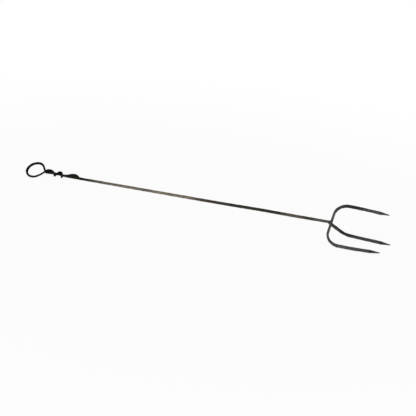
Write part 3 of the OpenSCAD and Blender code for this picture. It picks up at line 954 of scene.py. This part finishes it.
class Iron:
    """A material of forged iron: its colour and roughness are filled in by the caller."""

    def __init__(self, name, specular):
        self.material = bpy.data.materials.new(name)
        self.material.use_nodes = True
        tree = self.material.node_tree
        self.bench = Bench(tree)
        self.shader = tree.nodes["Principled BSDF"]
        self.shader.inputs["Specular IOR Level"].default_value = specular
        self.at = self.bench.node("ShaderNodeTexCoord", {}, {}, 3)

    def grain(self, size, detail=2.0, roughness=0.5):
        """Noise whose patches are about size across."""
        return self.bench.noise(self.at, 1 / size, detail, roughness)

    def mark(self, name):
        """A mark that the forge left on the bar, from 0 to 1."""
        return self.bench.node("ShaderNodeAttribute", {"attribute_name": name}, {}, 2)

    def near(self, place, reach):
        """1 at a place and 0 further from it than its reach."""
        bench = self.bench
        away = bench.vector("DISTANCE", self.at, tuple(c * MM for c in place))
        away = Value(bench, away.socket.node.outputs["Value"])
        return 1 - bench.clamped(away / (reach * MM))

    def fill(self, tone, roughness, metal, relief, depth):
        bench = self.bench
        bench.put(self.shader.inputs["Base Color"], tone)
        bench.put(self.shader.inputs["Roughness"], roughness)
        bench.put(self.shader.inputs["Metallic"], metal)
        bump = bench.node("ShaderNodeBump", {}, {"Height": relief, "Strength": 1.0, "Distance": depth})
        bench.put(self.shader.inputs["Normal"], bump)
        return self.material

    def streaks(self):
        """Fine scratches that run along the fork."""
        along = self.bench.vector("MULTIPLY", self.at, (0.06, 1.0, 1.0))
        return self.bench.noise(along, 1 / (0.35 * MM), 2.0, 0.6)

    def pitted(self):
        """Uneven pits where rust once sat, in groups: 0 in a pit and 1 on the flat."""
        bench = self.bench
        small = self.grain(0.8 * MM, 2.0, 0.55)
        groups = self.grain(6 * MM, 3.0, 0.6)
        return bench.clamped((0.86 - small - (groups - 0.5) * 0.55) * 7)

    def weathered(self, dark, bare, shown, rust, rusty):
        """Fire scale, flaked and worn through to bare iron as far as shown says, with rust in its pits; for the
        shank, the leaf and the prongs, shown also holds painted light and shade.
        """
        bench = self.bench
        flat = self.pitted()
        fine = self.grain(0.4 * MM, 3.0, 0.65)
        streak = self.streaks()
        flake = bench.clamped(self.grain(4.5 * MM, 7.0, 0.66) * 11 - 5)
        broad = bench.clamped(self.grain(17 * MM, 2.0, 0.5) * 2.4 - 0.7)
        edge = self.mark("edge") * bench.clamped(self.grain(7 * MM, 6.0, 0.75) * 9 - 4.6)
        bared = shown * (0.3 + 0.4 * flake + 0.45 * broad + 0.5 * streak) + edge * (0.08 + 0.3 * shown)
        bared = bench.clamped(bared - self.mark("dent") * 0.06)
        tone = bench.blend(bared, dark, bare)
        stain = bench.clamped(self.grain(6.5 * MM, 5.0, 0.7) * 8 - 4.6)
        tone = bench.blend(bench.clamped(stain * rusty), tone, rust)
        tone = bench.blend((1 - flat) * 0.65, tone, dark)
        rough = 0.62 - bared * 0.2 + (1 - flat) * 0.2 + stain * 0.12
        relief = flat * 0.45 + flake * 0.2 + fine * 0.2 + streak * 0.15
        return self.fill(tone, rough, bared * 0.45 * flat, relief, 0.4 * MM)


def shank_iron(finish):
    """Brown-grey iron, rubbed bright where it is held, with painted highlights along it, black at the tail with
    grease and painted shade under its turns, greyer at the weld.
    """
    iron = Iron("rubbed_iron", 0.12)
    bench = iron.bench
    along = bench.parted(iron.at)[0]
    travel = bench.clamped((along - SHANK_FROM) / (SHANK_TO - SHANK_FROM))
    # How light the shank is along its length: wear, and painted highlights that stand in for reflections
    wear = bench.node("ShaderNodeValToRGB", {"stops": SHANK_WEAR_AND_SHEEN}, {0: travel})
    wear = bench.node("ShaderNodeSeparateColor", {}, {0: wear})
    grey = bench.clamped((along - GREY_FROM) / GREY_REACH)
    # Black under the wound tail: grease, and painted shade in the gaps under its turns
    sooty_and_shaded = 1 - bench.clamped((along - SOOT_AND_SHADE_TO) / SOOT_AND_SHADE_REACH)
    dark = bench.blend(sooty_and_shaded, linear(finish.scale), linear(finish.soot))
    tones = tuple((at, linear(getattr(finish, name))) for at, name in SHANK_TONES)
    bare = bench.node("ShaderNodeValToRGB", {"stops": tones}, {0: travel})
    return iron.weathered(dark, bare, wear, linear(finish.rust), 0.4 - 0.4 * sooty_and_shaded - 0.3 * grey)


# The shank's two ends along X, and how light it is from one to the other: rubbed iron, and painted highlights
# where the shank would catch reflections
SHANK_FROM, SHANK_TO = -0.335, 0.27
SHANK_WEAR_AND_SHEEN = (
    (0.0, 0.0), (0.065, 0.0), (0.082, 0.2), (0.1, 0.0), (0.145, 0.0), (0.16, 0.1), (0.177, 0.22),
    (0.2, 0.42), (0.23, 0.48), (0.31, 0.72),
    (0.34, 0.6), (0.385, 0.5), (0.435, 1.0), (0.455, 0.79), (0.49, 0.7), (0.534, 0.78), (0.56, 0.32),
    (0.613, 0.1), (0.693, 0.0), (0.831, 0.04), (0.871, 0.4), (0.891, 0.46), (0.931, 0.15), (0.95, 0.38))

# The finish of its bare iron from one end to the other
SHANK_TONES = ((0.155, "greasy"), (0.2, "olive"), (0.26, "rubbed"), (0.3, "rubbed"), (0.35, "olive"),
               (0.42, "rubbed"), (0.47, "rubbed"), (0.53, "brown"), (0.58, "brown"), (0.64, "rubbed"),
               (0.73, "olive"), (0.79, "rubbed"), (0.88, "rubbed"), (0.95, "neck"))

# The black of grease and painted shade under the wound tail ends here, and the greyer iron starts here
SOOT_AND_SHADE_TO, SOOT_AND_SHADE_REACH = -0.25, 0.016
GREY_FROM, GREY_REACH = 0.2, 0.05


def handle_iron(finish):
    """Black greasy scale on the eye and the wound tail."""
    iron = Iron("sooty_iron", 0.05)
    shown = iron.near((-348, 6, 16), 16) * 0.5 + iron.near((-358, -14, 2), 16) * 0.5 + 0.04
    return iron.weathered(linear(finish.soot), linear(finish.leaf), shown, linear(finish.rust), 0.03)


def leaf_iron(finish):
    """Dark olive scale on the leaf, worn a little lighter, with a painted highlight round the middle of its dome.
    """
    iron = Iron("olive_iron", 0.05)
    # Lighter round the middle of the leaf's top: wear, and a painted highlight on its dome
    shown = iron.near((-268, 3, 17), 17) * 0.75 + 0.05
    return iron.weathered(linear(finish.soot), linear(finish.leaf), shown, linear(finish.rust), 0.05)


# Where the prongs are lighter or darker: worn bare or stayed dark, and painted light and shade, lighter on the
# lower side and darker on the upper side, most of all along the middle prong's root: the place in millimetres, its
# reach and how much
PRONG_WEAR_AND_SHADE_PLACES = (
    ((270, 13, 38), 16, 0.4), ((271, -17, 19), 18, 0.3), ((300, 38, 53), 24, -0.5), ((286, 8, 14), 24, -0.32),
    ((345, 39, 51), 30, 0.2), ((306, -38, 7), 16, 0.4), ((324, -37, 8), 14, 0.35), ((345, -36, 4), 8, 0.25),
    ((357, -35, 6), 6, -0.3), ((353, 39, 54), 6, -0.25), ((366, 15, 5), 8, -0.35),
    ((275, -4, 19), 8, 0.8), ((280, -1, 15), 8, 1.0), ((285, 1, 11), 8, 1.1), ((309, 14, 4), 14, -0.25))
PRONG_RUST = ((323, -37, 3), 11)
PRONG_SHOWN = 0.35


def prong_iron(finish):
    """Dark grey fire-scaled iron with bare places, painted light and shade, and a little rust."""
    iron = Iron("grey_iron", 0.12)
    bench = iron.bench
    shown = PRONG_SHOWN
    # Bare and dark places, some of them painted light on the lower sides and painted shade on the upper sides
    for place, reach, amount in PRONG_WEAR_AND_SHADE_PLACES:
        shown = iron.near(place, reach) * amount + shown
    shown = bench.clamped(shown)
    rusty = iron.near(*PRONG_RUST) * 0.4 + 0.18
    return iron.weathered(linear(finish.prong), linear(finish.prong_bare), shown, linear(finish.rust), rusty)


MAKERS = {"rubbed_iron": shank_iron, "sooty_iron": handle_iron, "olive_iron": leaf_iron, "grey_iron": prong_iron}


def kept_iron(name, finish):
    """The iron of that name, made once."""
    return bpy.data.materials.get(name) or MAKERS[name](finish)


class ForgeOperator:
    """What every operator that forges a bar shares."""

    bl_options = {"REGISTER", "UNDO"}

    def rows(self, fork):
        raise NotImplementedError

    def execute(self, context):
        fork = context.scene.toasting_fork
        piece = forge(self.piece, self.rows(fork), kept_iron(self.iron, fork.finish), fork)
        dress(piece, self.slot, self.node)
        return {"FINISHED"}


class FORK_OT_shank(ForgeOperator, bpy.types.Operator):
    """Forge the square shank with its swollen end"""

    bl_idname = "fork.shank"
    bl_label = "Shank"
    piece, node, slot, iron = "forged_shank", "shank", "shank_iron", "rubbed_iron"

    def rows(self, fork):
        return Handle(fork).parts(fork.forge.edge)["shank"]


class FORK_OT_eye(ForgeOperator, bpy.types.Operator):
    """Bend the hanging eye"""

    bl_idname = "fork.eye"
    bl_label = "Hanging eye"
    piece, node, slot, iron = "forged_eye", "hanging_eye", "handle_iron", "sooty_iron"

    def rows(self, fork):
        return Handle(fork).parts(fork.forge.edge)["hanging_eye"]


class FORK_OT_tail(ForgeOperator, bpy.types.Operator):
    """Wind the tail twice round the shank"""

    bl_idname = "fork.tail"
    bl_label = "Wrapped tail"
    piece, node, slot, iron = "forged_tail", "wrapped_tail", "handle_iron", "sooty_iron"

    def rows(self, fork):
        return Handle(fork).parts(fork.forge.edge)["wrapped_tail"]


class FORK_OT_leaf(ForgeOperator, bpy.types.Operator):
    """Beat the tail's end out into a leaf"""

    bl_idname = "fork.leaf"
    bl_label = "Leaf"
    piece, node, slot, iron = "forged_leaf", "leaf_end", "handle_iron", "olive_iron"

    def rows(self, fork):
        return Handle(fork).parts(fork.forge.edge)["leaf_end"]


class FORK_OT_bow(ForgeOperator, bpy.types.Operator):
    """Bend the bow with its two outer prongs"""

    bl_idname = "fork.bow"
    bl_label = "Prong bow"
    piece, node, slot, iron = "forged_bow", "prong_bow", "prong_iron", "grey_iron"

    def rows(self, fork):
        return Head(fork).bow(fork.forge.edge)


class FORK_OT_middle(ForgeOperator, bpy.types.Operator):
    """Bend the middle prong"""

    bl_idname = "fork.middle"
    bl_label = "Middle prong"
    piece, node, slot, iron = "forged_middle", "middle_prong", "prong_iron", "grey_iron"

    def rows(self, fork):
        return Head(fork).middle(fork.forge.edge)


class FORK_OT_weld(bpy.types.Operator):
    """Run the ends of the bars together in the fire weld"""

    bl_idname = "fork.weld"
    bl_label = "Fire weld"
    bl_options = {"REGISTER", "UNDO"}

    def execute(self, context):
        fork = context.scene.toasting_fork
        iron = kept_iron("grey_iron", fork.finish)
        ends = [forge("weld_end", rows, iron, fork, hammered=False) for rows in Weld(fork).fingers()]
        dress(run_together("fire_weld", ends, iron, fork.forge), "prong_iron")
        return {"FINISHED"}


class FORK_OT_stage(bpy.types.Operator):
    """Lay the table and set the camera and the lamps"""

    bl_idname = "fork.stage"
    bl_label = "Stage"

    def execute(self, context):
        stage = context.scene.toasting_fork.stage
        lay_table(stage)
        light_room(stage)
        set_camera(stage)
        view = context.scene.view_settings
        view.view_transform = "Standard"
        return {"FINISHED"}


# The stage

TABLE_HALF = 6.0
# The table's own white shows fully beyond this distance from the fork's middle
TABLE_NEAR, TABLE_FAR = 0.5, 1.1
# Share of the table's look that is plain white next to the fork
TABLE_WHITE = 0.93


def seen_directly(bench):
    """1 for what the camera sees, also in gloss and through glass."""
    path = bench.node("ShaderNodeLightPath")
    outputs = path.socket.node.outputs
    rays = [Value(bench, outputs[name]) for name in ("Is Camera Ray", "Is Glossy Ray", "Is Transmission Ray")]
    return bench.clamped(rays[0] + rays[1] + rays[2])


def lay_table(stage):
    mesh = bpy.data.meshes.new("table")
    corners = [(x * TABLE_HALF, y * TABLE_HALF, 0) for x, y in ((-1, -1), (1, -1), (1, 1), (-1, 1))]
    mesh.from_pydata(corners, [], [(0, 1, 2, 3)])
    table = bpy.data.objects.new("table", mesh)
    bpy.context.scene.collection.objects.link(table)
    material = bpy.data.materials.new("table_white")
    material.use_nodes = True
    tree = material.node_tree
    tree.nodes.clear()
    bench = Bench(tree)
    paint = bench.node("ShaderNodeBsdfDiffuse", {}, {"Color": linear(stage.table)})
    white = bench.node("ShaderNodeEmission", {}, {"Color": (1, 1, 1, 1), "Strength": 1.0})
    at = bench.node("ShaderNodeTexCoord", {}, {}, 3)
    distance = Value(bench, bench.vector("LENGTH", at).socket.node.outputs["Value"])
    far = bench.clamped((distance - TABLE_NEAR) / (TABLE_FAR - TABLE_NEAR))
    amount = seen_directly(bench) * (TABLE_WHITE + far * (1 - TABLE_WHITE))
    look = bench.node("ShaderNodeMixShader", {}, {0: amount, 1: paint, 2: white})
    output = tree.nodes.new("ShaderNodeOutputMaterial")
    tree.links.new(look.socket, output.inputs["Surface"])
    mesh.materials.append(material)


def light_room(stage):
    world = bpy.data.worlds.new("room")
    world.use_nodes = True
    tree = world.node_tree
    tree.nodes.clear()
    bench = Bench(tree)
    strength = seen_directly(bench) * (1 - stage.sky) + stage.sky
    light = bench.node("ShaderNodeBackground", {}, {"Color": (1, 1, 1, 1), "Strength": strength})
    output = tree.nodes.new("ShaderNodeOutputWorld")
    tree.links.new(light.socket, output.inputs["Surface"])
    bpy.context.scene.world = world
    add_lamp("key_lamp", KEY_AT, stage.key_power, KEY_SIZE)
    add_lamp("fill_lamp", FILL_AT, stage.fill_power, FILL_SIZE)


# Where the two soft lamps hang, and how wide they are
KEY_AT, KEY_SIZE = Vector((-1.35, -2.65, 0.5)), 1.1
FILL_AT, FILL_SIZE = Vector((0.4, 1.7, 0.9)), 1.4


def add_lamp(name, at, power, size):
    lamp = bpy.data.lights.new(name, "AREA")
    lamp.energy, lamp.size = power, size
    lamp_object = bpy.data.objects.new(name, lamp)
    lamp_object.location = at
    lamp_object.rotation_euler = (-at).to_track_quat("-Z", "Y").to_euler()
    bpy.context.scene.collection.objects.link(lamp_object)


def set_camera(stage):
    camera = bpy.data.cameras.new("camera")
    camera.lens, camera.clip_start, camera.clip_end = stage.lens, 0.05, 50
    camera_object = bpy.data.objects.new("camera", camera)
    camera_object.location = stage.camera_at
    camera_object.rotation_euler = stage.camera_turn
    bpy.context.scene.collection.objects.link(camera_object)
    bpy.context.scene.camera = camera_object


class FORK_PT_panel(bpy.types.Panel):
    """The fork's sizes, and the steps that make it"""

    bl_idname = "FORK_PT_panel"
    bl_label = "Toasting Fork"
    bl_space_type = "VIEW_3D"
    bl_region_type = "UI"
    bl_category = "Toasting Fork"

    def draw(self, context):
        fork = context.scene.toasting_fork
        for group in ("shank", "eye", "tail", "leaf", "prongs", "forge", "finish", "stage"):
            box = self.layout.box()
            box.label(text=group.capitalize())
            sizes = getattr(fork, group)
            for name in sizes.__annotations__:
                box.prop(sizes, name)
        for operator in OPERATORS:
            self.layout.operator(operator.bl_idname)


GROUPS = (ShankSizes, EyeSizes, TailSizes, LeafSizes, ProngSizes, ForgeSizes, Finishes, StageSizes, ForkSettings)
OPERATORS = (FORK_OT_stage, FORK_OT_shank, FORK_OT_eye, FORK_OT_tail, FORK_OT_leaf, FORK_OT_bow, FORK_OT_middle,
             FORK_OT_weld)


def register():
    for cls in GROUPS + OPERATORS + (FORK_PT_panel,):
        bpy.utils.register_class(cls)
    bpy.types.Scene.toasting_fork = PointerProperty(type=ForkSettings)


def unregister():
    del bpy.types.Scene.toasting_fork
    for cls in reversed(GROUPS + OPERATORS + (FORK_PT_panel,)):
        bpy.utils.unregister_class(cls)


def main():
    register()
    bpy.ops.fork.stage()
    bpy.ops.fork.shank()
    bpy.ops.fork.eye()
    bpy.ops.fork.tail()
    bpy.ops.fork.leaf()
    bpy.ops.fork.bow()
    bpy.ops.fork.middle()
    bpy.ops.fork.weld()


if __name__ == "__main__":
    main()
